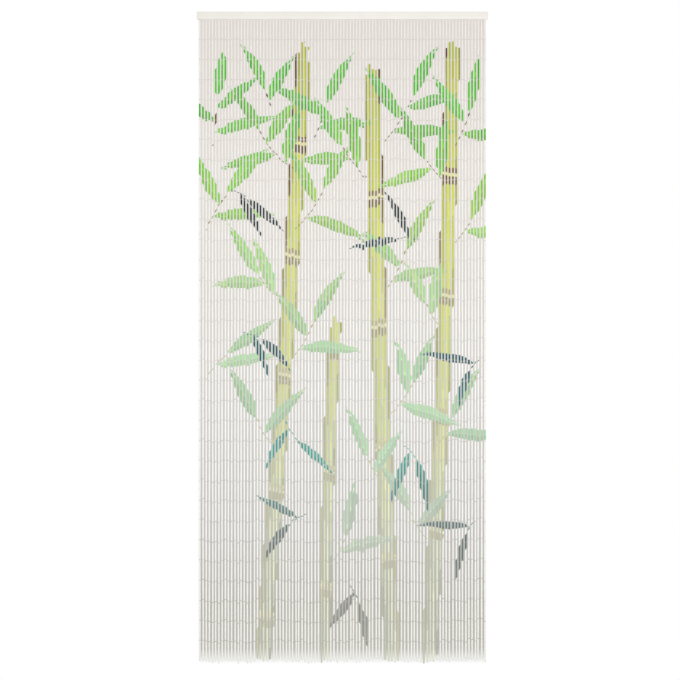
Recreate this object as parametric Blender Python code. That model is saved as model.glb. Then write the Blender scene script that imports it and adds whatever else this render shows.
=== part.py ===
"""Bamboo fly screen curtain: ninety strands of thin bamboo tubes that hang from a painted wooden rail.

Metres, +Z up, the printed front facing -Y. The origin is the middle of the rail's back face, which
goes against the wall over the door. The rail is a batten with a slot along its underside. A hanging
wire runs in the slot, and every strand grows from it: a short thin wire neck first, and then the
run of tubes. A strand wanders a little on its way down and ends at its own height.
"""

import math
import random

import bmesh
import bpy

# The rail.
RAIL_LENGTH = 0.900
RAIL_HEIGHT = 0.024
RAIL_DEPTH = 0.012
RAIL_EDGE_RADIUS = 0.0012
RAIL_UNDERSIDE = -RAIL_HEIGHT / 2

# The hanging wire, drawn square, and the slot that holds it with a running gap all round.
WIRE_WIDTH = 0.0020
WIRE_GAP = 0.0003
SLOT_WIDTH = WIRE_WIDTH + 2 * WIRE_GAP
SLOT_HEIGHT = WIRE_WIDTH + WIRE_GAP
WIRE_LENGTH = RAIL_LENGTH - 0.010

# The strands.
STRANDS = 90
STRAND_PITCH = 0.0099
STRAND_Y = -RAIL_DEPTH / 2
TUBE_WIDTH = 0.0050
NECK_DROP = 0.0012
SHOULDER_DROP = 0.0017
ROWS = 32
ROW_PITCH = 0.0619
MEAN_DROP = ROWS * ROW_PITCH
BENDS = 5

# How unevenly a strand hangs. The ends rise and fall in a slow wave and a shorter ripple across the
# curtain, counted in strands, and each strand adds a little of its own.
HEM_WAVE = 0.0030
HEM_WAVE_STRANDS = 31
HEM_RIPPLE = 0.0015
HEM_RIPPLE_STRANDS = 11
END_HIGHEST = 0.0040
END_LOWEST = 0.0080
SIDE_DRIFT = 0.0012
SIDE_WAVE = 0.0005
DEPTH_DRIFT = 0.0006
FIRST_SEED = 4100

# Finishes: colour, roughness.
PAINTED_WOOD = ((0.86, 0.84, 0.78), 0.55)
PAINTED_BAMBOO = ((0.84, 0.82, 0.77), 0.50)


def strand_habit(index):
    """How one strand hangs: its sideways drift, wave and phase, its drift in depth, and its end's shift."""
    draw = random.Random(FIRST_SEED + index)
    wave = HEM_WAVE * math.sin(math.tau * index / HEM_WAVE_STRANDS)
    ripple = HEM_RIPPLE * math.sin(math.tau * index / HEM_RIPPLE_STRANDS)
    return {
        "drift": draw.uniform(-SIDE_DRIFT, SIDE_DRIFT),
        "wave": draw.uniform(-SIDE_WAVE, SIDE_WAVE),
        "phase": draw.uniform(0, math.tau),
        "depth": draw.uniform(-DEPTH_DRIFT, DEPTH_DRIFT),
        "end": wave + ripple + draw.uniform(-END_HIGHEST, END_LOWEST),
    }


def strand_x(index):
    """Where a strand leaves the rail."""
    return (index - (STRANDS - 1) / 2) * STRAND_PITCH


def strand_point(index, share):
    """The middle of a strand at a share of its length, 0 at the rail's underside and 1 at its end."""
    habit = strand_habit(index)
    across = habit["drift"] * share + habit["wave"] * math.sin(math.tau * share + habit["phase"]) * share
    drop = share * (MEAN_DROP + habit["end"])
    return strand_x(index) + across, STRAND_Y + habit["depth"] * share, RAIL_UNDERSIDE - drop


def finish_of(name, look):
    colour, roughness = look
    material = bpy.data.materials.new(name)
    material.use_nodes = True
    shader = material.node_tree.nodes["Principled BSDF"]
    shader.inputs["Base Color"].default_value = (*colour, 1.0)
    shader.inputs["Roughness"].default_value = roughness
    shader.inputs["Metallic"].default_value = 0.0
    return material


def object_from(name, bm, material):
    """One named object for a sub-part, from a finished bmesh."""
    bmesh.ops.recalc_face_normals(bm, faces=bm.faces)
    mesh = bpy.data.meshes.new(name)
    bm.to_mesh(mesh)
    bm.free()
    mesh.materials.append(material)
    made = bpy.data.objects.new(name, mesh)
    bpy.context.scene.collection.objects.link(made)
    return made


def head_rail():
    """The batten: its slotted profile drawn on one end, pushed to the other, and its outer edges eased."""
    half_length = RAIL_LENGTH / 2
    half_slot = SLOT_WIDTH / 2
    slot_top = RAIL_UNDERSIDE + SLOT_HEIGHT
    profile = (
        (0.0, RAIL_UNDERSIDE),
        (0.0, RAIL_HEIGHT / 2),
        (-RAIL_DEPTH, RAIL_HEIGHT / 2),
        (-RAIL_DEPTH, RAIL_UNDERSIDE),
        (STRAND_Y - half_slot, RAIL_UNDERSIDE),
        (STRAND_Y - half_slot, slot_top),
        (STRAND_Y + half_slot, slot_top),
        (STRAND_Y + half_slot, RAIL_UNDERSIDE),
    )
    bm = bmesh.new()
    end = bm.faces.new([bm.verts.new((-half_length, y, z)) for y, z in profile])
    pushed = bmesh.ops.extrude_face_region(bm, geom=[end], use_keep_orig=True)["geom"]
    moved = [item for item in pushed if isinstance(item, bmesh.types.BMVert)]
    bmesh.ops.translate(bm, vec=(RAIL_LENGTH, 0, 0), verts=moved)

    def outer_planes(point):
        """How many of the rail's outer faces a point lies on."""
        near = 1e-6
        return sum((
            abs(abs(point.x) - half_length) < near,
            abs(point.y) < near or abs(point.y + RAIL_DEPTH) < near,
            abs(abs(point.z) - RAIL_HEIGHT / 2) < near,
        ))

    eased = [e for e in bm.edges if outer_planes((e.verts[0].co + e.verts[1].co) / 2) > 1]
    bmesh.ops.bevel(
        bm,
        geom=eased,
        offset=RAIL_EDGE_RADIUS,
        offset_type="OFFSET",
        affect="EDGES",
        segments=2,
        profile=0.5,
        material=-1,
    )
    return object_from("head_rail", bm, finish_of("painted_wood", PAINTED_WOOD))


def strand_curtain():
    """The hanging wire with all the strands grown out of its underside, as one closed solid."""
    half_wire = WIRE_WIDTH / 2
    cuts = [-WIRE_LENGTH / 2]
    for index in range(STRANDS):
        cuts += [strand_x(index) - half_wire, strand_x(index) + half_wire]
    cuts.append(WIRE_LENGTH / 2)

    # The wire's underside, cut at both sides of every root.
    bm = bmesh.new()
    columns = len(cuts) - 1
    bmesh.ops.create_grid(bm, x_segments=columns, y_segments=1, size=0.5)
    for vert in bm.verts:
        column = round((vert.co.x + 0.5) * columns)
        vert.co = (cuts[column], STRAND_Y + math.copysign(half_wire, vert.co.y), RAIL_UNDERSIDE)
    across = sorted(bm.faces, key=lambda face: face.calc_center_median().x)
    roots = across[1::2]
    grown = bmesh.ops.extrude_face_region(bm, geom=across, use_keep_orig=True)["geom"]
    top = [item for item in grown if isinstance(item, bmesh.types.BMVert)]
    bmesh.ops.translate(bm, vec=(0, 0, WIRE_WIDTH), verts=top)

    # Every root pushed down ring by ring: the wire neck, the shoulder of the first tube, then the run.
    half_tube = TUBE_WIDTH / 2
    rings = [(NECK_DROP / MEAN_DROP, half_wire), (SHOULDER_DROP / MEAN_DROP, half_tube)]
    rings += [((bend + 1) / BENDS, half_tube) for bend in range(BENDS)]
    for share, half in rings:
        pushed = bmesh.ops.extrude_discrete_faces(bm, faces=roots)["faces"]
        roots = sorted(pushed, key=lambda face: face.calc_center_median().x)
        for index, face in enumerate(roots):
            old = face.calc_center_median()
            x, y, z = strand_point(index, share)
            for vert in face.verts:
                side_x = math.copysign(half, vert.co.x - old.x)
                side_y = math.copysign(half, vert.co.y - old.y)
                vert.co = (x + side_x, y + side_y, z)
    return object_from("strand_curtain", bm, finish_of("painted_bamboo", PAINTED_BAMBOO))


def clear_scene():
    for old in list(bpy.data.objects):
        bpy.data.objects.remove(old)


clear_scene()
head_rail()
strand_curtain()
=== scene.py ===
"""Bamboo fly screen curtain: looks for the strands of thin painted tubes and the rail they hang from."""

import math
import random

import bmesh
import bpy
import mathutils
import numpy as np
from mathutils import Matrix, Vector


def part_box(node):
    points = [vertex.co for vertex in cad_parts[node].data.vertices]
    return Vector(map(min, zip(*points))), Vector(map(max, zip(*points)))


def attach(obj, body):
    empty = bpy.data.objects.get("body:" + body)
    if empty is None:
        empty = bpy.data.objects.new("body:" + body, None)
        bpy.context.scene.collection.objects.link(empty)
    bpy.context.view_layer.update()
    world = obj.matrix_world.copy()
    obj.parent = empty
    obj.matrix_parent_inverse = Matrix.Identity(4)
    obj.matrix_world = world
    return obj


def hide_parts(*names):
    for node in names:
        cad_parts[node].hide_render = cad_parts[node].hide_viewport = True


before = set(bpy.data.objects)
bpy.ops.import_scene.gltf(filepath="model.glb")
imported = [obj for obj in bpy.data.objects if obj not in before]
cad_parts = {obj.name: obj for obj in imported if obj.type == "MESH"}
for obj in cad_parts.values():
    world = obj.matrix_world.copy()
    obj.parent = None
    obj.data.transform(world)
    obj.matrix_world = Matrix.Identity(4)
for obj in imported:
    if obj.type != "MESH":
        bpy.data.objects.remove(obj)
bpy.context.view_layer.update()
rail_low, rail_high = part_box("head_rail")
strands_low, strands_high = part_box("strand_curtain")


# The camera looks straight at the curtain's front from far off, level with its middle. The scale
# and place come from the photograph, where the rail is 291.4 of 680 pixels wide and its top edge
# lies 11.6 pixels down.
PHOTO_SIDE = 680
RAIL_PIXELS = 291.4
RAIL_TOP_PIXEL = 11.63
CURTAIN_MIDDLE_PIXEL = 342.3
CAMERA_DISTANCE = 14.0
SENSOR_WIDTH = 36.0
metres_a_pixel = (rail_high[0] - rail_low[0]) / RAIL_PIXELS
camera_data = bpy.data.cameras.new("camera")
camera_data.sensor_width = SENSOR_WIDTH
camera_data.lens = SENSOR_WIDTH * CAMERA_DISTANCE / (PHOTO_SIDE * metres_a_pixel)
camera = bpy.data.objects.new("camera", camera_data)
bpy.context.scene.collection.objects.link(camera)
camera.location = (
    (PHOTO_SIDE / 2 - CURTAIN_MIDDLE_PIXEL) * metres_a_pixel,
    rail_low[1] - CAMERA_DISTANCE,
    rail_high[2] - (PHOTO_SIDE / 2 - RAIL_TOP_PIXEL) * metres_a_pixel,
)
camera.rotation_euler = (math.radians(90), 0, 0)
bpy.context.scene.camera = camera
bpy.context.scene.view_settings.view_transform = "Standard"


# The studio: a white wall close behind the curtain, a pale floor below it, and soft even light
# with a broad lamp in front. The wall glows instead of being lit, and behind the strands it carries
# a painted shadow of the curtain, darker towards the foot. It is seen from its front only, and it
# neither lights nor blocks anything.
WALL_SIZE = 9.0
WALL_GAP_TOP = 0.012
WALL_GAP_FOOT = 0.003
FLOOR_DROP = 0.070
# The painted shadow on the wall behind the strands: shares of the way down from the rail, and its
# 8-bit sRGB colour.
WALL_PAINTED_SHADOW = (
    (0.000, (246, 242, 238)),
    (0.004, (222, 216, 211)),
    (0.25, (227, 222, 217)),
    (0.60, (211, 208, 205)),
    (0.80, (194, 193, 190)),
    (0.91, (183, 181, 174)),
    (0.977, (187, 186, 179)),
    (1.000, (255, 255, 255)),
)
WALL_SHADE_RISE = 0.005
# Where that painted shadow ends: insets from the outermost strands, and drops from the rail's top.
SHADE_FULL_INSET = 0.0028
SHADE_END_INSET = 0.0008
SHADE_START_DROP = 0.004
SHADE_FULL_DROP = 0.006
FLOOR_WHITE = (0.86, 0.86, 0.85)
SKY_LIGHT = 0.80
LAMP_POWER = 53.0
LAMP_SIZE = 2.4
LAMP_PLACE = (0.30, -3.3, -1.0)


def new_material(name):
    """A material with its Principled shader, and its node tree."""
    material = bpy.data.materials.new(name)
    material.use_nodes = True
    tree = material.node_tree
    return material, tree, tree.nodes["Principled BSDF"]


def add_node(tree, kind, inputs=None, **settings):
    """A node of one kind with its settings, and its inputs set to values or linked to sockets."""
    node = tree.nodes.new(kind)
    for key, value in settings.items():
        setattr(node, key, value)
    for key, value in (inputs or {}).items():
        if isinstance(value, bpy.types.NodeSocket):
            tree.links.new(value, node.inputs[key])
        else:
            node.inputs[key].default_value = value
    return node


def mixed(tree, factor, low, high, blend="MIX"):
    """The colour socket of a mix of two colours."""
    node = add_node(tree, "ShaderNodeMix", data_type="RGBA", blend_type=blend)
    for socket, value in ((node.inputs[0], factor), (node.inputs[6], low), (node.inputs[7], high)):
        if isinstance(value, bpy.types.NodeSocket):
            tree.links.new(value, socket)
        elif isinstance(value, tuple) and len(value) == 3:
            socket.default_value = (*value, 1)
        else:
            socket.default_value = value
    return node.outputs[2]


def mapped(tree, value, low, high, new_low, new_high):
    """The socket of a value moved from one range to another, held at its ends."""
    return add_node(
        tree, "ShaderNodeMapRange", {0: value, 1: low, 2: high, 3: new_low, 4: new_high}
    ).outputs[0]


def object_from(name, bm, materials, smooth_below=None):
    """A linked object from a finished bmesh, shaded smooth where faces meet at less than an angle."""
    bmesh.ops.recalc_face_normals(bm, faces=bm.faces)
    mesh = bpy.data.meshes.new(name)
    bm.to_mesh(mesh)
    bm.free()
    for material in materials:
        mesh.materials.append(material)
    if smooth_below is not None:
        mesh.shade_smooth()
        mesh.set_sharp_from_angle(angle=math.radians(smooth_below))
    made = bpy.data.objects.new(name, mesh)
    bpy.context.scene.collection.objects.link(made)
    return made


def linear(value):
    """One 8-bit sRGB channel as linear light."""
    value = min(max(value / 255, 0.0), 1.0)
    return value / 12.92 if value <= 0.04045 else ((value + 0.055) / 1.055) ** 2.4


floor_height = strands_low[2] - FLOOR_DROP
wall_white_painted_shadow, tree, shader = new_material("wall_white_painted_shadow")
place = add_node(tree, "ShaderNodeTexCoord")
spot = add_node(tree, "ShaderNodeSeparateXYZ", {0: place.outputs["Object"]})
way_down = mapped(tree, spot.outputs[2], rail_low[2] + WALL_SHADE_RISE, strands_low[2], 0, 1)
# The ramp holds the painted shadow behind the strands, darker towards the foot.
shades = add_node(tree, "ShaderNodeValToRGB", {0: way_down})
while len(shades.color_ramp.elements) < len(WALL_PAINTED_SHADOW):
    shades.color_ramp.elements.new(0.5)
for stop, (position, colour) in zip(shades.color_ramp.elements, WALL_PAINTED_SHADOW):
    stop.position = position
    stop.color = (*(linear(channel) for channel in colour), 1)
# A mask keeps the painted shadow behind the strands and below the rail; elsewhere the wall is white.
aside = add_node(tree, "ShaderNodeMath", {0: spot.outputs[0]}, operation="ABSOLUTE").outputs[0]
behind = mapped(
    tree, aside, strands_high[0] - SHADE_FULL_INSET, strands_high[0] - SHADE_END_INSET, 1, 0
)
below_rail = mapped(
    tree, spot.outputs[2], rail_high[2] - SHADE_START_DROP, rail_high[2] - SHADE_FULL_DROP, 0, 1
)
behind = add_node(tree, "ShaderNodeMath", {0: behind, 1: below_rail}, operation="MULTIPLY").outputs[0]
# The wall glows with this colour instead of being lit: white around the curtain, painted shadow behind
# it.
glow = add_node(tree, "ShaderNodeEmission", {0: mixed(tree, behind, (1, 1, 1), shades.outputs[0])})
side_seen = add_node(tree, "ShaderNodeNewGeometry")
clear = add_node(tree, "ShaderNodeBsdfTransparent")
front_only = add_node(tree, "ShaderNodeMixShader", {0: side_seen.outputs["Backfacing"]})
tree.links.new(glow.outputs[0], front_only.inputs[1])
tree.links.new(clear.outputs[0], front_only.inputs[2])
tree.links.new(front_only.outputs[0], tree.nodes["Material Output"].inputs["Surface"])

bm = bmesh.new()
bmesh.ops.create_grid(bm, x_segments=1, y_segments=1, size=WALL_SIZE / 2)
lean = (WALL_GAP_TOP - WALL_GAP_FOOT) / (rail_high[2] - strands_low[2])
for vert in bm.verts:
    height = floor_height + (vert.co.y + WALL_SIZE / 2)
    vert.co = (vert.co.x, WALL_GAP_FOOT + (height - strands_low[2]) * lean, height)
wall = object_from("studio_wall", bm, [wall_white_painted_shadow])
wall.visible_diffuse = False
wall.visible_glossy = False
wall.visible_shadow = False
wall.visible_transmission = False
if wall.data.polygons[0].normal.y > 0:
    wall.data.flip_normals()

floor_white, tree, shader = new_material("floor_white")
shader.inputs["Base Color"].default_value = (*FLOOR_WHITE, 1)
shader.inputs["Roughness"].default_value = 0.9
bm = bmesh.new()
bmesh.ops.create_grid(bm, x_segments=1, y_segments=1, size=WALL_SIZE / 2)
bmesh.ops.translate(bm, vec=(0, 0, floor_height), verts=bm.verts)
floor = object_from("studio_floor", bm, [floor_white])

world = bpy.data.worlds.new("studio_sky")
world.use_nodes = True
bpy.context.scene.world = world
sky = world.node_tree.nodes["Background"]
sky_path = add_node(world.node_tree, "ShaderNodeLightPath")
sky_power = add_node(
    world.node_tree, "ShaderNodeMapRange", {0: sky_path.outputs["Is Camera Ray"], 3: SKY_LIGHT, 4: 1.0}
)
sky.inputs["Color"].default_value = (1, 1, 1, 1)
world.node_tree.links.new(sky_power.outputs[0], sky.inputs["Strength"])

lamp_data = bpy.data.lights.new("front_lamp", "AREA")
lamp_data.shape = "RECTANGLE"
lamp_data.size = LAMP_SIZE
lamp_data.size_y = LAMP_SIZE
lamp_data.energy = LAMP_POWER
lamp = bpy.data.objects.new("front_lamp", lamp_data)
lamp.location = LAMP_PLACE
lamp.rotation_euler = (math.radians(90), 0, math.atan2(LAMP_PLACE[0], -LAMP_PLACE[1]))
bpy.context.scene.collection.objects.link(lamp)


# The head rail: a planed softwood batten with eased edges, painted cream. The slot along its
# underside holds the hanging wire. Its slotted end is drawn once and pushed along.
RAIL_EDGE_RADIUS = 0.0004
SLOT_WIDTH = 0.0026
SLOT_HEIGHT = 0.0023
ON_FACE = 1e-5
RAIL_CREAM = (0.738, 0.716, 0.668)


def fibre_group():
    """Shader group: long fine fibres and small flecks in a surface, on Object coordinates."""
    group = bpy.data.node_groups.new("fibre_and_flecks", "ShaderNodeTree")
    for name, kind in (("Scale", "NodeSocketVector"), ("Shift", "NodeSocketFloat")):
        group.interface.new_socket(name, in_out="INPUT", socket_type=kind)
    for name in ("Fibre", "Cloud", "Fleck"):
        group.interface.new_socket(name, in_out="OUTPUT", socket_type="NodeSocketFloat")
    given = add_node(group, "NodeGroupInput")
    place = add_node(group, "ShaderNodeTexCoord")
    scaled = add_node(
        group,
        "ShaderNodeVectorMath",
        {0: place.outputs["Object"], 1: given.outputs["Scale"]},
        operation="MULTIPLY",
    )
    shifted = add_node(
        group,
        "ShaderNodeVectorMath",
        {0: scaled.outputs[0], 1: given.outputs["Shift"]},
        operation="ADD",
    )
    fibre = add_node(
        group,
        "ShaderNodeTexNoise",
        {"Vector": shifted.outputs[0], "Scale": 1.0, "Detail": 3.0},
    )
    cloud = add_node(
        group,
        "ShaderNodeTexNoise",
        {"Vector": place.outputs["Object"], "Scale": 9.0, "Detail": 2.0},
    )
    spots = add_node(
        group,
        "ShaderNodeTexNoise",
        {"Vector": shifted.outputs[0], "Scale": 1.7, "Detail": 1.0},
    )
    fleck = add_node(
        group, "ShaderNodeMapRange", {0: spots.outputs["Fac"], 1: 0.66, 2: 0.74, 3: 0.0, 4: 1.0}
    )
    out = add_node(group, "NodeGroupOutput")
    group.links.new(fibre.outputs["Fac"], out.inputs["Fibre"])
    group.links.new(cloud.outputs["Fac"], out.inputs["Cloud"])
    group.links.new(fleck.outputs[0], out.inputs["Fleck"])
    return group


fibres = fibre_group()
rail_paint, tree, shader = new_material("rail_paint")
grain = add_node(tree, "ShaderNodeGroup", node_tree=fibres)
grain.inputs["Scale"].default_value = (12.0, 700.0, 420.0)
cream = mixed(
    tree,
    mapped(tree, grain.outputs["Cloud"], 0.3, 0.7, 0.0, 1.0),
    tuple(c * 0.97 for c in RAIL_CREAM),
    tuple(min(1, c * 1.02) for c in RAIL_CREAM),
)
cream = mixed(
    tree, mapped(tree, grain.outputs["Fibre"], 0.35, 0.75, 0.0, 0.10), cream, (0.70, 0.64, 0.54)
)
cream = mixed(tree, mapped(tree, grain.outputs["Fleck"], 0, 1, 0, 0.10), cream, (0.50, 0.42, 0.31))
tree.links.new(cream, shader.inputs["Base Color"])
tree.links.new(
    mapped(tree, grain.outputs["Fibre"], 0.3, 0.7, 0.46, 0.58), shader.inputs["Roughness"]
)
ridges = add_node(
    tree, "ShaderNodeBump", {"Height": grain.outputs["Fibre"], "Strength": 0.25, "Distance": 0.0002}
)
tree.links.new(ridges.outputs[0], shader.inputs["Normal"])

slot_middle = (rail_low[1] + rail_high[1]) / 2
slot_top = rail_low[2] + SLOT_HEIGHT
profile = (
    (rail_high[1], rail_low[2]),
    (rail_high[1], rail_high[2]),
    (rail_low[1], rail_high[2]),
    (rail_low[1], rail_low[2]),
    (slot_middle - SLOT_WIDTH / 2, rail_low[2]),
    (slot_middle - SLOT_WIDTH / 2, slot_top),
    (slot_middle + SLOT_WIDTH / 2, slot_top),
    (slot_middle + SLOT_WIDTH / 2, rail_low[2]),
)


def push_along(bm, faces, length):
    """Pushes end faces along x, which leaves a closed solid."""
    pushed = bmesh.ops.extrude_face_region(bm, geom=faces, use_keep_orig=True)["geom"]
    moved = [item for item in pushed if isinstance(item, bmesh.types.BMVert)]
    bmesh.ops.translate(bm, vec=(length, 0, 0), verts=moved)


def outer_planes(point):
    """How many of the rail's outer faces a point lies on."""
    return sum(
        min(abs(point[axis] - rail_low[axis]), abs(point[axis] - rail_high[axis])) < ON_FACE
        for axis in range(3)
    )


bm = bmesh.new()
end = bm.faces.new([bm.verts.new((rail_low[0], y, z)) for y, z in profile])
push_along(bm, [end], rail_high[0] - rail_low[0])
bmesh.ops.bevel(
    bm,
    geom=[e for e in bm.edges if outer_planes((e.verts[0].co + e.verts[1].co) / 2) > 1],
    offset=RAIL_EDGE_RADIUS,
    offset_type="OFFSET",
    affect="EDGES",
    segments=4,
    profile=0.5,
    material=-1,
)
rail = object_from("rail_batten", bm, [rail_paint], smooth_below=35)
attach(rail, "root")
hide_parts("head_rail")


# How the strands hang: each one drifts a little to the side and in depth on its way down, and ends
# at its own height. Each is a chain of 32 cut bamboo tubes, none quite as long as the next, so
# that the rows of joints waver across the curtain.
STRANDS = 90
STRAND_PITCH = 0.0099
ROWS = 32
ROW_PITCH = 0.0619
MEAN_DROP = ROWS * ROW_PITCH
HEM_WAVE = 0.0030
HEM_WAVE_STRANDS = 31
HEM_RIPPLE = 0.0015
HEM_RIPPLE_STRANDS = 11
END_HIGHEST = 0.0040
END_LOWEST = 0.0080
SIDE_DRIFT = 0.0012
SIDE_WAVE = 0.0005
DEPTH_DRIFT = 0.0006
HABIT_SEED = 4100
TUBE_SEED = 9000
NECK_DROP = 0.0004
JOINT_GAP = 0.0017
JOINT_GAP_SPREAD = 0.0006
TUBE_LENGTH_SPREAD = 0.0009
END_LOOP_DROP = 0.0020


def strand_habit(index):
    """How one strand hangs: its drift, wave and phase sideways, its depth, and its end's shift."""
    draw = random.Random(HABIT_SEED + index)
    wave = HEM_WAVE * math.sin(math.tau * index / HEM_WAVE_STRANDS)
    ripple = HEM_RIPPLE * math.sin(math.tau * index / HEM_RIPPLE_STRANDS)
    return {
        "drift": draw.uniform(-SIDE_DRIFT, SIDE_DRIFT),
        "wave": draw.uniform(-SIDE_WAVE, SIDE_WAVE),
        "phase": draw.uniform(0, math.tau),
        "depth": draw.uniform(-DEPTH_DRIFT, DEPTH_DRIFT),
        "end": wave + ripple + draw.uniform(-END_HIGHEST, END_LOWEST),
    }


def strand_x(index):
    """Where a strand leaves the rail."""
    return (index - (STRANDS - 1) / 2) * STRAND_PITCH


class Strand:
    """One strand: where its line runs, and the top and bottom of each of its tubes."""

    def __init__(self, index):
        self.index = index
        self.habit = strand_habit(index)
        self.draw = random.Random(TUBE_SEED + index)
        self.drop = MEAN_DROP + self.habit["end"]
        walk = [0.0]
        for _ in range(ROWS):
            walk.append(walk[-1] + self.draw.gauss(0, TUBE_LENGTH_SPREAD))
        joints = [self.drop * j / ROWS + walk[j] - walk[ROWS] * j / ROWS for j in range(ROWS + 1)]
        self.tubes = []
        below = NECK_DROP
        for j in range(1, ROWS + 1):
            gap = JOINT_GAP + self.draw.uniform(-JOINT_GAP_SPREAD, JOINT_GAP_SPREAD)
            last = joints[j] - (END_LOOP_DROP if j == ROWS else gap / 2)
            self.tubes.append((rail_low[2] - below, rail_low[2] - last))
            below = joints[j] + gap / 2

    def point(self, height):
        """The middle of the strand at a height."""
        share = (rail_low[2] - height) / self.drop
        wave = self.habit["wave"] * math.sin(math.tau * share + self.habit["phase"])
        x = strand_x(self.index) + (self.habit["drift"] + wave) * share
        return x, slot_middle + self.habit["depth"] * share


strands = [Strand(index) for index in range(STRANDS)]


# The printed design: a stand of canes with leafy sprigs and a few darker sprigs among them, sprayed
# on the front of the hung tubes. Its colours fade from vivid green at the top to pale grey green at
# the foot. Every motif is an outline in the plane of the curtain.

# Each table of shades holds depths below the rail in metres, with the paint there in 8-bit sRGB.
LEAF_SHADES = (
    (0.07, (44, 176, 0)),
    (0.30, (70, 180, 0)),
    (0.50, (106, 190, 0)),
    (0.75, (142, 200, 112)),
    (1.05, (150, 204, 148)),
    (1.35, (158, 204, 164)),
    (1.55, (186, 207, 184)),
    (1.95, (200, 205, 196)),
)
CANE_SHADES = (
    (0.07, (162, 174, 0)),
    (0.40, (180, 192, 0)),
    (0.70, (194, 206, 64)),
    (1.10, (198, 208, 124)),
    (1.40, (206, 213, 164)),
    (1.60, (210, 216, 190)),
    (1.95, (208, 213, 198)),
)
BARK_SHADES = (
    (0.07, (84, 58, 0)),
    (0.45, (100, 78, 8)),
    (0.70, (138, 132, 70)),
    (1.00, (160, 160, 108)),
    (1.40, (180, 181, 142)),
    (1.95, (196, 196, 178)),
)
DARK_LEAF_SHADES = (
    (0.35, (0, 32, 38)),
    (0.60, (0, 42, 52)),
    (0.85, (6, 128, 116)),
    (1.05, (18, 84, 92)),
    (1.35, (60, 164, 150)),
    (1.58, (96, 114, 112)),
    (1.95, (150, 151, 147)),
)
RING_SHADES = (
    (0.10, (214, 216, 104)),
    (0.80, (222, 222, 168)),
    (1.95, (206, 206, 190)),
)
# How far a full step of yellow moves each 8-bit channel, how much of a tube's warmth the canes
# take, and the depth at which both have faded out.
YELLOW_SHIFT = (24, 8, -8)
CANE_WARMTH = 0.5
WARMTH_ENDS = 1.5
SHORTEST_RUN = 0.0008
# A leaf: its midrib, the steps along it, how early and how roundly it swells, and how light and
# how yellow it and its halves are.
VEIN_WIDTH = 0.0022
VEIN_LIFT = 1.10
VEIN_YELLOW = 0.6
LEAF_STEPS = 14
LEAF_SWELLS_EARLY = 0.76
LEAF_ROUNDNESS = 1.1
LEAF_LIFTS = (0.95, 1.05)
LEAF_YELLOWS = (-0.2, 0.9)
LIT_HALF = 1.03
SHADED_HALF = 0.96


def shade_at(shades, depth):
    """The colour of one paint at a depth below the rail, from its table."""
    if depth <= shades[0][0]:
        return shades[0][1]
    for (depth_a, colour_a), (depth_b, colour_b) in zip(shades, shades[1:]):
        if depth <= depth_b:
            part = (depth - depth_a) / (depth_b - depth_a)
            return tuple(a + (b - a) * part for a, b in zip(colour_a, colour_b))
    return shades[-1][1]


def along_arc(start, heading, length, bend, steps):
    """Points along an arc that sets off at a heading and turns by bend degrees: x, z and heading."""
    x, z = start
    points = [(x, z, heading)]
    for _ in range(steps):
        heading += bend / steps / 2
        x += length / steps * math.cos(math.radians(heading))
        z += length / steps * math.sin(math.radians(heading))
        heading += bend / steps / 2
        points.append((x, z, heading))
    return points


def beside(point, reach):
    """The place beside a point of a line, reach to the left of the way it runs."""
    x, z, heading = point
    across = math.radians(heading + 90)
    return x + reach * math.cos(across), z + reach * math.sin(across)


def band(line, low, high):
    """Outline of a band that runs along a line, from one reach to another beside it."""
    return [beside(p, low) for p in line] + [beside(p, high) for p in reversed(line)]


def half_leaf(line, width, side, vein):
    """Outline of the half of a leaf on one side of its midrib."""
    outer, inner = [], []
    for step, point in enumerate(line):
        swell = math.sin(math.pi * (step / (len(line) - 1)) ** LEAF_SWELLS_EARLY)
        half = width / 2 * max(swell, 0.0) ** LEAF_ROUNDNESS
        outer.append(beside(point, side * half))
        inner.append(beside(point, side * min(vein / 2, half)))
    return outer + inner[::-1]


motifs = []


def paint(outline, shades, lift=1.0, yellow=0.0):
    """Adds an outline to the design, over those before it."""
    motifs.append((outline, shades, lift, yellow))


def paint_leaf(start, heading, length, width, bend, shades, vein, draw):
    """A lance-shaped leaf in two halves, with a paler midrib where one is given."""
    line = along_arc(start, heading, length, bend, LEAF_STEPS)
    lift = draw.uniform(*LEAF_LIFTS)
    yellow = draw.uniform(*LEAF_YELLOWS) if vein else 0.0
    upper = 1 if math.cos(math.radians(heading)) > 0 else -1
    for side in (1, -1):
        lit = LIT_HALF if side == upper else SHADED_HALF
        paint(half_leaf(line, width, side, vein), shades, lift * lit, yellow)
    if vein:
        paint(band(line[:-3], -vein / 2, vein / 2), shades, lift * VEIN_LIFT, yellow + VEIN_YELLOW)


# Canes: metres across at the foot and the head, heights of both, how far they bow, and their width.
CANES = (
    # foot_x, head_x, foot_z, head_z, bow, width
    (-0.246, -0.116, -2.010, -0.080, 0.006, 0.045),
    (-0.054, -0.020, -2.010, -0.930, -0.006, 0.034),
    (0.154, 0.090, -2.010, -0.150, -0.005, 0.047),
    (0.268, 0.342, -2.010, -0.080, 0.009, 0.044),
)
# Bands across a cane: from and to, in shares of its width from its middle, how light each is, and
# how far below the cane's head it starts.
CANE_BANDS = (
    (-0.50, -0.26, 0.91, 0.034),
    (-0.26, 0.05, 1.00, 0.000),
    (0.05, 0.30, 1.05, 0.016),
    (0.30, 0.50, 0.96, 0.062),
)
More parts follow.
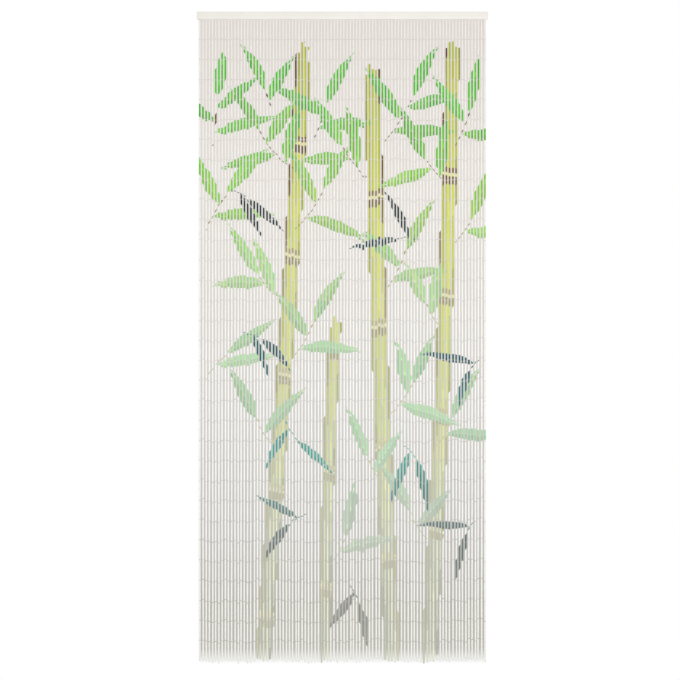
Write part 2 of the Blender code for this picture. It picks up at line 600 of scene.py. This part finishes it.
# Marks at a cane's joint: height over the joint's middle, how tall, the paint, how light.
JOINT_MARKS = (
    (-0.018, 0.024, BARK_SHADES, 1.0),
    (0.0, 0.009, RING_SHADES, 1.0),
    (0.013, 0.016, BARK_SHADES, 1.12),
)
BARK_EDGE = 0.0058
BARK_EDGE_START = 0.020
SHADE_EDGE = 0.0040
SHADE_EDGE_REACH = 0.92
SHADE_EDGE_LIFT = 0.84
CANE_SEED = 70
CANE_STEPS = 24
FIRST_JOINT = 0.15
FIRST_JOINT_STAGGER = 0.09
JOINT_PITCH = 0.37
JOINT_PITCH_SHARES = (0.92, 1.08)
LAST_JOINT_DROP = 0.05
JOINT_TILT = 12


def paint_cane(index, foot_x, head_x, foot_z, head_z, bow, width):
    """A cane in long bands of light and shade, with a dark edge and marks at its joints."""
    draw = random.Random(CANE_SEED + index)
    heading = math.degrees(math.atan2(head_z - foot_z, head_x - foot_x))

    def stretch(bottom, top):
        """Points up the cane's middle between two heights."""
        points = []
        for step in range(CANE_STEPS + 1):
            height = bottom + (top - bottom) * step / CANE_STEPS
            share = (height - foot_z) / (head_z - foot_z)
            x = foot_x + (head_x - foot_x) * share + bow * math.sin(math.pi * share)
            points.append((x, height, heading))
        return points

    for low, high, lift, starts_below in CANE_BANDS:
        line = stretch(foot_z, head_z - starts_below)
        paint(band(line, -low * width, -high * width), CANE_SHADES, lift)
    dark_side = 1 if head_x > foot_x else -1
    line = stretch(foot_z, head_z - BARK_EDGE_START)
    edge = dark_side * width / 2
    paint(band(line, edge - BARK_EDGE / 2, edge + BARK_EDGE / 2), BARK_SHADES)
    far = -edge * SHADE_EDGE_REACH
    paint(band(line, far - SHADE_EDGE / 2, far + SHADE_EDGE / 2), CANE_SHADES, SHADE_EDGE_LIFT)
    tilt = -JOINT_TILT * dark_side
    rise = width / 2 * math.tan(math.radians(tilt))
    joint = foot_z + FIRST_JOINT + FIRST_JOINT_STAGGER * index
    while joint < head_z - LAST_JOINT_DROP:
        x = stretch(joint, joint)[0][0]
        for over, tall, shades, lift in JOINT_MARKS:
            left = (x - width / 2, joint + over - rise, tilt)
            right = (x + width / 2, joint + over + rise, tilt)
            paint(band([left, right], -tall / 2, tall / 2), shades, lift)
        joint += JOINT_PITCH * draw.uniform(*JOINT_PITCH_SHARES)


# Sprigs: where the twig starts, its heading, length and bend, how many leaves, and their size.
SPRIGS = (
    # x, z, heading, twig, bend, leaves, leaf length, leaf width, dark
    (-0.400, -0.400, 82, 0.150, 6, 4, 0.205, 0.037, False),
    (-0.140, -0.480, 150, 0.170, -34, 4, 0.210, 0.038, False),
    (-0.090, -0.385, 62, 0.120, 14, 3, 0.205, 0.037, False),
    (-0.215, -0.290, 118, 0.060, -16, 2, 0.190, 0.036, False),
    (0.130, -0.390, 48, 0.170, 20, 4, 0.210, 0.038, False),
    (0.075, -0.500, 140, 0.120, -24, 3, 0.205, 0.038, False),
    (0.350, -0.400, 60, 0.110, 14, 3, 0.200, 0.037, False),
    (0.325, -0.520, 142, 0.100, -20, 3, 0.205, 0.038, False),
    (-0.420, -0.660, 66, 0.130, -12, 3, 0.210, 0.038, False),
    (-0.150, -0.660, 40, 0.160, 26, 3, 0.210, 0.038, False),
    (0.350, -0.700, 46, 0.090, 20, 2, 0.200, 0.038, False),
    (0.125, -0.860, 50, 0.150, 24, 3, 0.210, 0.038, False),
    (-0.185, -0.880, 146, 0.110, -26, 3, 0.205, 0.038, False),
    (0.300, -0.960, 132, 0.080, -24, 2, 0.200, 0.038, False),
    (-0.160, -1.060, 44, 0.130, 28, 3, 0.210, 0.038, False),
    (-0.420, -1.120, 60, 0.100, -20, 2, 0.205, 0.038, False),
    (0.150, -1.230, 42, 0.120, 26, 3, 0.205, 0.038, False),
    (0.290, -1.330, 48, 0.100, 26, 2, 0.205, 0.038, False),
    (-0.210, -1.330, 136, 0.100, -26, 2, 0.205, 0.038, False),
    (0.130, -1.450, 134, 0.100, -26, 2, 0.200, 0.037, False),
    (0.265, -1.620, 134, 0.100, -24, 2, 0.200, 0.037, False),
    (-0.040, -1.700, 48, 0.100, 26, 2, 0.200, 0.037, False),
    (-0.350, -0.540, -4, 0.060, -40, 2, 0.180, 0.025, True),
    (0.235, -0.690, 168, 0.060, 24, 2, 0.175, 0.025, True),
    (-0.310, -0.980, -2, 0.060, -30, 2, 0.175, 0.025, True),
    (0.425, -1.060, -144, 0.045, 26, 2, 0.170, 0.025, True),
    (-0.180, -1.240, -72, 0.080, 24, 2, 0.175, 0.025, True),
    (0.185, -1.330, -20, 0.060, -44, 2, 0.180, 0.026, True),
    (0.410, -1.560, -136, 0.050, 26, 2, 0.170, 0.025, True),
    (-0.110, -1.540, -168, 0.060, 34, 2, 0.180, 0.025, True),
    (0.020, -1.760, -48, 0.060, -24, 2, 0.170, 0.026, True),
)

SPRIG_SEED = 500
TWIG_WIDTH = 0.0026
TWIG_STEPS = 12
TWIG_LIFT = 1.1
# Its leaves: degrees between a leaf and its twig, at the sides and at the tip, then how far a leaf
# droops, the shares of its length and width, and how much shorter the leaves are at the tip.
LEAF_SPLAYS = (34, 72)
TIP_SPLAY = 8
LEAF_DROOPS = (-26, 2)
LEAF_LENGTH_SHARES = (0.85, 1.1)
LEAF_WIDTH_SHARES = (0.9, 1.08)
TIP_SHRINK = 0.12


def paint_sprig(index, x, z, heading, twig, bend, leaves, length, width, dark):
    """A thin twig with leaves to both sides in turn and one at its tip."""
    draw = random.Random(SPRIG_SEED + index)
    line = along_arc((x, z), heading, twig, bend, TWIG_STEPS)
    shades = DARK_LEAF_SHADES if dark else LEAF_SHADES
    vein = 0 if dark else VEIN_WIDTH
    twig_shades = DARK_LEAF_SHADES if dark else BARK_SHADES
    paint(band(line, -TWIG_WIDTH / 2, TWIG_WIDTH / 2), twig_shades, TWIG_LIFT)
    for leaf in range(leaves):
        share = (leaf + 1) / leaves
        at = line[round(share * TWIG_STEPS)]
        side = 1 if leaf % 2 else -1
        if leaf == leaves - 1:
            splay = draw.uniform(-TIP_SPLAY, TIP_SPLAY)
        else:
            splay = side * draw.uniform(*LEAF_SPLAYS)
        size = length * draw.uniform(*LEAF_LENGTH_SHARES) * (1.0 - TIP_SHRINK * share)
        rightward = math.cos(math.radians(at[2] + splay)) > 0
        droop = draw.uniform(*LEAF_DROOPS) * (1 if rightward else -1)
        leaf_width = width * draw.uniform(*LEAF_WIDTH_SHARES)
        paint_leaf(at[:2], at[2] + splay, size, leaf_width, droop, shades, vein, draw)


for number, row in enumerate(CANES):
    paint_cane(number, *row)
for number, row in enumerate(SPRIGS):
    paint_sprig(number, *row)


def crossings(outline, x):
    """Where an upright line at x meets an outline, from the top down: height and slope."""
    found = []
    for (x0, z0), (x1, z1) in zip(outline, outline[1:] + outline[:1]):
        if (x0 <= x) != (x1 <= x):
            slope = (z1 - z0) / (x1 - x0)
            found.append((z0 + slope * (x - x0), slope))
    return sorted(found, reverse=True)


def painted_runs(x, shift):
    """The painted lengths of an upright line, from the top down: top, bottom, and the motif seen."""
    spans = []
    for rank, motif in enumerate(motifs):
        met = [(height + shift, slope) for height, slope in crossings(motif[0], x)]
        spans += [(rank, top, bottom) for top, bottom in zip(met[::2], met[1::2])]
    edges = sorted({end for _, top, bottom in spans for end in (top, bottom)}, reverse=True)
    runs = []
    for above, below in zip(edges, edges[1:]):
        middle = (above[0] + below[0]) / 2
        over = [rank for rank, top, bottom in spans if top[0] >= middle >= bottom[0]]
        if not over or above[0] - below[0] < SHORTEST_RUN:
            continue
        if runs and runs[-1][2] == max(over) and runs[-1][1] == above:
            runs[-1] = (runs[-1][0], below, max(over))
        else:
            runs.append((above, below, max(over)))
    return runs


def paint_colour(rank, height, warm):
    """The linear colour of a motif's paint at a height, with full cover, a little warmer or colder."""
    _, shades, lift, yellow = motifs[rank]
    if shades is LEAF_SHADES:
        yellow += warm
    elif shades is CANE_SHADES:
        yellow += warm * CANE_WARMTH
    depth = rail_low[2] - height
    yellow *= max(0.0, 1.0 - depth / WARMTH_ENDS)
    colour = zip(shade_at(shades, depth), YELLOW_SHIFT)
    return (*(linear(channel * lift + shift * yellow) for channel, shift in colour), 1.0)


# The tubes: thin bamboo cut to length, hollow, with a joint of the cane showing as a low ridge on
# some. They are painted cream white all round, and the design lies on their front. The cut ends and
# the bore are bare. Each bundle of nine strands is one mesh joined from arrays.
BUNDLE = 9
TUBE_SIDES = 8
TUBE_RADIUS = 0.0028
TUBE_RADIUS_SHARES = (0.94, 1.04)
TUBE_TAPER = 0.03
TUBE_SHIFT = 0.0003
BORE_RADIUS = 0.0011
RIDGE_SHARE = 0.35
RIDGE_PLACES = (0.15, 0.85)
RIDGE_HEIGHT = 0.0002
RIDGE_HALF_LENGTH = 0.0011
RING_STEP = 0.0001
STEEPEST_PAINT_EDGE = 1.4
WARMTH_SPREAD = 0.5
PRINT_SHIFT = 0.0020
PAINT_WRAP = 0.45
PAINT_FADE = 0.40

# The cream down the curtain, darkest and warmest near the rail and lightest below the middle:
# shares of the way from the foot to the rail, and its colour.
TUBE_TINTS = (
    (0.00, (0.812, 0.812, 0.786)),
    (0.45, (0.856, 0.856, 0.834)),
    (1.00, (0.788, 0.760, 0.725)),
)
BARE_BAMBOO = (0.56, 0.43, 0.26)

turns = np.arange(TUBE_SIDES) * math.tau / TUBE_SIDES + math.pi / TUBE_SIDES
around = np.stack([np.cos(turns), np.sin(turns)], axis=1)


def tube_faces(rings):
    """Corner numbers of a tube's faces: the outside ring by ring, then both cut ends and the bore."""
    here = np.arange(TUBE_SIDES)
    there = (here + 1) % TUBE_SIDES
    quads = []
    for ring in range(rings - 1):
        top, low = ring * TUBE_SIDES, (ring + 1) * TUBE_SIDES
        quads.append(np.stack([top + here, low + here, low + there, top + there], axis=1))
    last = (rings - 1) * TUBE_SIDES
    bore_top = rings * TUBE_SIDES
    bore_low = bore_top + TUBE_SIDES
    quads.append(np.stack([here, there, bore_top + there, bore_top + here], axis=1))
    quads.append(np.stack([last + here, bore_low + here, bore_low + there, last + there], axis=1))
    quads.append(
        np.stack([bore_top + here, bore_top + there, bore_low + there, bore_low + here], axis=1)
    )
    return np.concatenate(quads)


def tube_rings(top, low, runs, draw):
    """A tube's rings from the top down (height, slope, ridge), and the paint between each two."""
    rings = [(top, 0.0, 0.0), (low, 0.0, 0.0)]
    if draw.random() < RIDGE_SHARE:
        ridge = low + (top - low) * draw.uniform(*RIDGE_PLACES)
        rings += [(ridge + RIDGE_HALF_LENGTH * k, 0.0, 1.0 if k == 0 else 0.0) for k in (-1, 0, 1)]
    for above, below, _ in runs:
        for height, slope in (above, below):
            if low + SHORTEST_RUN < height < top - SHORTEST_RUN:
                rings.append((height, max(-STEEPEST_PAINT_EDGE, min(STEEPEST_PAINT_EDGE, slope)), 0.0))
    rings.sort(key=lambda ring: -ring[0])
    paints = []
    warm = draw.gauss(0, WARMTH_SPREAD)
    for upper, lower in zip(rings, rings[1:]):
        middle = (upper[0] + lower[0]) / 2
        over = [rank for above, below, rank in runs if above[0] >= middle >= below[0]]
        if over:
            paints.append([paint_colour(over[0], ring[0], warm) for ring in (upper, lower)])
        else:
            paints.append(((1.0, 1.0, 1.0, 0.0), (1.0, 1.0, 1.0, 0.0)))
    return rings, paints


def tube_arrays(strand, top, low, runs, draw):
    """A tube's points, faces, the paint at its face corners, and its stick values at its points."""
    rings, paints = tube_rings(top, low, runs, draw)
    radius = TUBE_RADIUS * draw.uniform(*TUBE_RADIUS_SHARES)
    taper = draw.uniform(-TUBE_TAPER, TUBE_TAPER)
    tops, lows = np.array(strand.point(top)), np.array(strand.point(low))
    tops += [draw.uniform(-TUBE_SHIFT, TUBE_SHIFT), draw.uniform(-TUBE_SHIFT, TUBE_SHIFT)]
    turned = draw.uniform(0, math.tau / TUBE_SIDES)
    spin = np.array([[math.cos(turned), math.sin(turned)], [-math.sin(turned), math.cos(turned)]])
    circle = around @ spin
    heights = np.empty((len(rings), TUBE_SIDES))
    points = []
    for number, (height, slope, ridge) in enumerate(rings):
        share = (top - height) / (top - low)
        middle = tops + (lows - tops) * share
        reach = radius * (1 + taper * (share - 0.5)) + ridge * RIDGE_HEIGHT
        spot = middle + circle * reach
        heights[number] = height + slope * (spot[:, 0] - middle[0])
        points.append(spot)
    for number in range(len(rings)):
        heights[number] = np.minimum(heights[number], top - RING_STEP * number)
        if number:
            heights[number] = np.minimum(heights[number], heights[number - 1] - RING_STEP)
    for number in range(len(rings) - 1, -1, -1):
        floor_here = low + RING_STEP * (len(rings) - 1 - number)
        heights[number] = np.maximum(heights[number], floor_here)
    heights[0], heights[-1] = top, low
    bore = [(middle_end + circle * BORE_RADIUS, end) for middle_end, end in ((tops, top), (lows, low))]
    outside = [np.column_stack([spot, rise]) for spot, rise in zip(points, heights)]
    inside = [np.column_stack([spot, np.full(TUBE_SIDES, end)]) for spot, end in bore]
    verts = np.concatenate(outside + inside)
    faces = tube_faces(len(rings))
    corner_paint = np.zeros((len(faces), 4, 4))
    for number, (upper, lower) in enumerate(paints):
        rows = slice(number * TUBE_SIDES, (number + 1) * TUBE_SIDES)
        corner_paint[rows, 0] = corner_paint[rows, 3] = upper
        corner_paint[rows, 1] = corner_paint[rows, 2] = lower
    front = np.clip((PAINT_WRAP - circle[:, 1]) / PAINT_FADE, 0, 1)
    corner_paint[:, :, 3] *= front[faces % TUBE_SIDES]
    ridges = [ring[2] for ring in rings] + [0.0, 0.0]
    stick = np.zeros((len(verts), 3))
    stick[:, 0] = draw.random()
    stick[:, 1] = draw.random()
    stick[:, 2] = np.repeat(ridges, TUBE_SIDES)
    bare = np.zeros(len(faces), dtype=int)
    bare[(len(rings) - 1) * TUBE_SIDES:] = 1
    return verts, faces, corner_paint, stick, bare


def joined_object(name, parts, materials):
    """A linked, smooth-shaded object of many small meshes, each with its points and faces first."""
    starts = np.cumsum([0] + [len(part[0]) for part in parts[:-1]])
    verts = np.concatenate([part[0] for part in parts])
    faces = np.concatenate([part[1] + start for part, start in zip(parts, starts)])
    mesh = bpy.data.meshes.new(name)
    mesh.from_pydata(verts, [], faces)
    for material in materials:
        mesh.materials.append(material)
    mesh.shade_smooth()
    made = bpy.data.objects.new(name, mesh)
    bpy.context.scene.collection.objects.link(made)
    return made


def tube_paint():
    """Cream paint over bamboo fibres, and the design where the front of the tube carries it."""
    material, tree, shader = new_material("tube_paint")
    stick = add_node(tree, "ShaderNodeAttribute", attribute_name="stick")
    draws = add_node(tree, "ShaderNodeSeparateXYZ", {0: stick.outputs["Vector"]})
    grain = add_node(tree, "ShaderNodeGroup", node_tree=fibres)
    grain.inputs["Scale"].default_value = (1500.0, 1500.0, 60.0)
    tree.links.new(draws.outputs[0], grain.inputs["Shift"])
    place = add_node(tree, "ShaderNodeTexCoord")
    up = add_node(tree, "ShaderNodeSeparateXYZ", {0: place.outputs["Object"]})
    way_up = mapped(tree, up.outputs[2], strands_low[2], rail_low[2], 0, 1)
    tints = add_node(tree, "ShaderNodeValToRGB", {0: way_up})
    tints.color_ramp.elements.new(0.5)
    for stop, (position, colour) in zip(tints.color_ramp.elements, TUBE_TINTS):
        stop.position = position
        stop.color = (*colour, 1)
    cream = tints.outputs[0]
    cream = mixed(tree, mapped(tree, draws.outputs[0], 0, 1, 0.0, 0.16), cream, (0.72, 0.66, 0.56))
    cream = mixed(
        tree, mapped(tree, grain.outputs["Fibre"], 0.4, 0.8, 0, 0.16), cream, (0.60, 0.52, 0.40)
    )
    cream = mixed(tree, mapped(tree, grain.outputs["Fleck"], 0, 1, 0, 0.30), cream, (0.42, 0.33, 0.22))
    cream = mixed(tree, mapped(tree, draws.outputs[2], 0.2, 1.0, 0, 0.45), cream, (0.55, 0.45, 0.32))

    printed = add_node(tree, "ShaderNodeAttribute", attribute_name="print")
    worn = mapped(tree, grain.outputs["Fleck"], 0, 1, 1.0, 0.55)
    cover = add_node(
        tree, "ShaderNodeMath", {0: printed.outputs["Alpha"], 1: worn}, operation="MULTIPLY"
    ).outputs[0]
    shaded = mixed(
        tree,
        mapped(tree, grain.outputs["Fibre"], 0.3, 0.75, 0.0, 0.30),
        printed.outputs["Color"],
        mixed(tree, 1.0, printed.outputs["Color"], (0.72, 0.76, 0.70), blend="MULTIPLY"),
    )
    patchy = mixed(
        tree,
        mapped(tree, draws.outputs[1], 0.0, 1.0, 0.0, 0.34),
        shaded,
        mixed(tree, 1.0, shaded, (1.36, 1.20, 1.05), blend="MULTIPLY"),
    )
    tree.links.new(mixed(tree, cover, cream, patchy), shader.inputs["Base Color"])
    shader.inputs["Specular IOR Level"].default_value = 0.1
    tree.links.new(
        mapped(tree, grain.outputs["Fibre"], 0.3, 0.7, 0.42, 0.60), shader.inputs["Roughness"]
    )
    ridges = add_node(
        tree, "ShaderNodeBump", {"Height": grain.outputs["Fibre"], "Strength": 0.35, "Distance": 0.0002}
    )
    tree.links.new(ridges.outputs[0], shader.inputs["Normal"])
    return material


def bare_bamboo():
    """The cut ends and the bore: raw bamboo with its pores."""
    material, tree, shader = new_material("bare_bamboo")
    grain = add_node(tree, "ShaderNodeGroup", node_tree=fibres)
    grain.inputs["Scale"].default_value = (2600.0, 2600.0, 300.0)
    raw = mixed(
        tree, mapped(tree, grain.outputs["Fibre"], 0.3, 0.7, 0, 1), BARE_BAMBOO, (0.70, 0.58, 0.39)
    )
    raw = mixed(tree, mapped(tree, grain.outputs["Fleck"], 0, 1, 0, 0.6), raw, (0.24, 0.16, 0.09))
    tree.links.new(raw, shader.inputs["Base Color"])
    tree.links.new(
        mapped(tree, grain.outputs["Fibre"], 0.3, 0.7, 0.70, 0.85), shader.inputs["Roughness"]
    )
    return material


tube_materials = [tube_paint(), bare_bamboo()]
for bundle in range(STRANDS // BUNDLE):
    parts = []
    for strand in strands[bundle * BUNDLE:(bundle + 1) * BUNDLE]:
        runs = painted_runs(strand_x(strand.index), strand.draw.gauss(0, PRINT_SHIFT))
        for top, low in strand.tubes:
            parts.append(tube_arrays(strand, top, low, runs, strand.draw))
    tubes = joined_object(f"tubes_{bundle + 1:02d}", parts, tube_materials)
    mesh = tubes.data
    mesh.polygons.foreach_set("material_index", np.concatenate([part[4] for part in parts]))
    paint_layer = mesh.color_attributes.new("print", "FLOAT_COLOR", "CORNER")
    paint_layer.data.foreach_set("color", np.concatenate([part[2] for part in parts]).ravel())
    stick_layer = mesh.attributes.new("stick", "FLOAT_VECTOR", "POINT")
    stick_layer.data.foreach_set("vector", np.concatenate([part[3] for part in parts]).ravel())
    mesh.set_sharp_from_angle(angle=math.radians(60))
    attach(tubes, "root")
    if bundle == 0:
        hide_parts("strand_curtain")


# The wire: a steel hanging wire lies in the rail's slot. A thin wire runs through every tube and is
# bent into an eye at each end. The top eyes ride on the hanging wire, and at each joint two eyes
# hang in each other, square to one another.
HANGING_WIRE_RADIUS = 0.0006
HANGING_WIRE_SIDES = 10
HANGING_WIRE_INSET = 0.0050
HANGING_WIRE_DROP = 0.0010
EYE_WIRE_RADIUS = 0.00032
EYE_HALF_WIDTH = 0.0009
EYE_ROOT_HALF_WIDTH = 0.0004
EYE_ROOT_DEPTH = 0.0012
EYE_OVERLAP = 0.0004
EYE_SIDES = 4
EYES_A_PIECE = 30

steel_wire, tree, shader = new_material("steel_wire")
grain = add_node(tree, "ShaderNodeGroup", node_tree=fibres)
grain.inputs["Scale"].default_value = (900.0, 900.0, 900.0)
dull = mixed(
    tree,
    mapped(tree, grain.outputs["Fibre"], 0.35, 0.7, 0, 1),
    (0.52, 0.50, 0.47),
    (0.36, 0.33, 0.29),
)
tree.links.new(dull, shader.inputs["Base Color"])
shader.inputs["Metallic"].default_value = 0.85
tree.links.new(mapped(tree, grain.outputs["Fibre"], 0.3, 0.7, 0.36, 0.56), shader.inputs["Roughness"])

bm = bmesh.new()
wire_end = bmesh.ops.create_circle(
    bm, cap_ends=True, segments=HANGING_WIRE_SIDES, radius=HANGING_WIRE_RADIUS
)["verts"]
quarter_turn = mathutils.Matrix.Rotation(math.radians(90), 3, "Y")
bmesh.ops.rotate(bm, verts=wire_end, cent=(0, 0, 0), matrix=quarter_turn)
wire_start = (rail_low[0] + HANGING_WIRE_INSET, slot_middle, rail_low[2] + HANGING_WIRE_DROP)
bmesh.ops.translate(bm, vec=wire_start, verts=wire_end)
push_along(bm, list(bm.faces), rail_high[0] - rail_low[0] - 2 * HANGING_WIRE_INSET)
hanging_wire = object_from("hanging_wire", bm, [steel_wire], smooth_below=50)
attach(hanging_wire, "root")


def wire_eye(reach):
    """An eye that stands up from z = 0 to its crown at reach, in the XZ plane: points and faces."""
    half = EYE_HALF_WIDTH
    path = np.array([
        (-EYE_ROOT_HALF_WIDTH, -EYE_ROOT_DEPTH),
        (-half, reach * 0.35),
        (-half * 0.75, reach * 0.80),
        (0.0, reach),
        (half * 0.75, reach * 0.80),
        (half, reach * 0.35),
        (EYE_ROOT_HALF_WIDTH, -EYE_ROOT_DEPTH),
    ])
    runs = np.gradient(path, axis=0)
    runs /= np.linalg.norm(runs, axis=1, keepdims=True)
    side = np.stack([runs[:, 1], -runs[:, 0]], axis=1)
    verts = []
    for (x, z), (side_x, side_z) in zip(path, side):
        for turn in np.arange(EYE_SIDES) * math.tau / EYE_SIDES:
            out, depth = EYE_WIRE_RADIUS * math.cos(turn), EYE_WIRE_RADIUS * math.sin(turn)
            verts.append((x + side_x * out, depth, z + side_z * out))
    faces = []
    for step in range(len(path) - 1):
        for k in range(EYE_SIDES):
            a, b = step * EYE_SIDES + k, step * EYE_SIDES + (k + 1) % EYE_SIDES
            faces.append((a, b, b + EYE_SIDES, a + EYE_SIDES))
    last = (len(path) - 1) * EYE_SIDES
    faces.append(tuple(range(EYE_SIDES))[::-1])
    faces.append(tuple(last + k for k in range(EYE_SIDES)))
    return np.array(verts), np.array(faces)


def placed_eye(reach, x, y, z, turn, downward):
    """An eye set on the end of a tube, turned about the strand's line."""
    verts, faces = wire_eye(reach)
    if downward:
        verts = verts * (1, -1, -1)
    cos, sin = math.cos(turn), math.sin(turn)
    turned = np.column_stack([
        verts[:, 0] * cos - verts[:, 1] * sin + x,
        verts[:, 0] * sin + verts[:, 1] * cos + y,
        verts[:, 2] + z,
    ])
    return turned, faces


for first in range(0, STRANDS, EYES_A_PIECE):
    parts = []
    for strand in strands[first:first + EYES_A_PIECE]:
        top = strand.tubes[0][0]
        crown = rail_low[2] + HANGING_WIRE_DROP + HANGING_WIRE_RADIUS + EYE_WIRE_RADIUS
        parts.append(placed_eye(crown - top, *strand.point(top), top, math.pi / 2, False))
        for upper, lower in zip(strand.tubes, strand.tubes[1:]):
            gap = upper[1] - lower[0]
            turn = strand.draw.uniform(0, math.pi)
            reach = gap / 2 + EYE_OVERLAP
            parts.append(placed_eye(reach, *strand.point(upper[1]), upper[1], turn, True))
            parts.append(placed_eye(reach, *strand.point(lower[0]), lower[0], turn + math.pi / 2, False))
        foot = strand.tubes[-1][1]
        parts.append(placed_eye(END_LOOP_DROP - EYE_WIRE_RADIUS, *strand.point(foot), foot, 0.0, True))
    eyes = joined_object(f"wire_eyes_{first // EYES_A_PIECE + 1}", parts, [steel_wire])
    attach(eyes, "root")
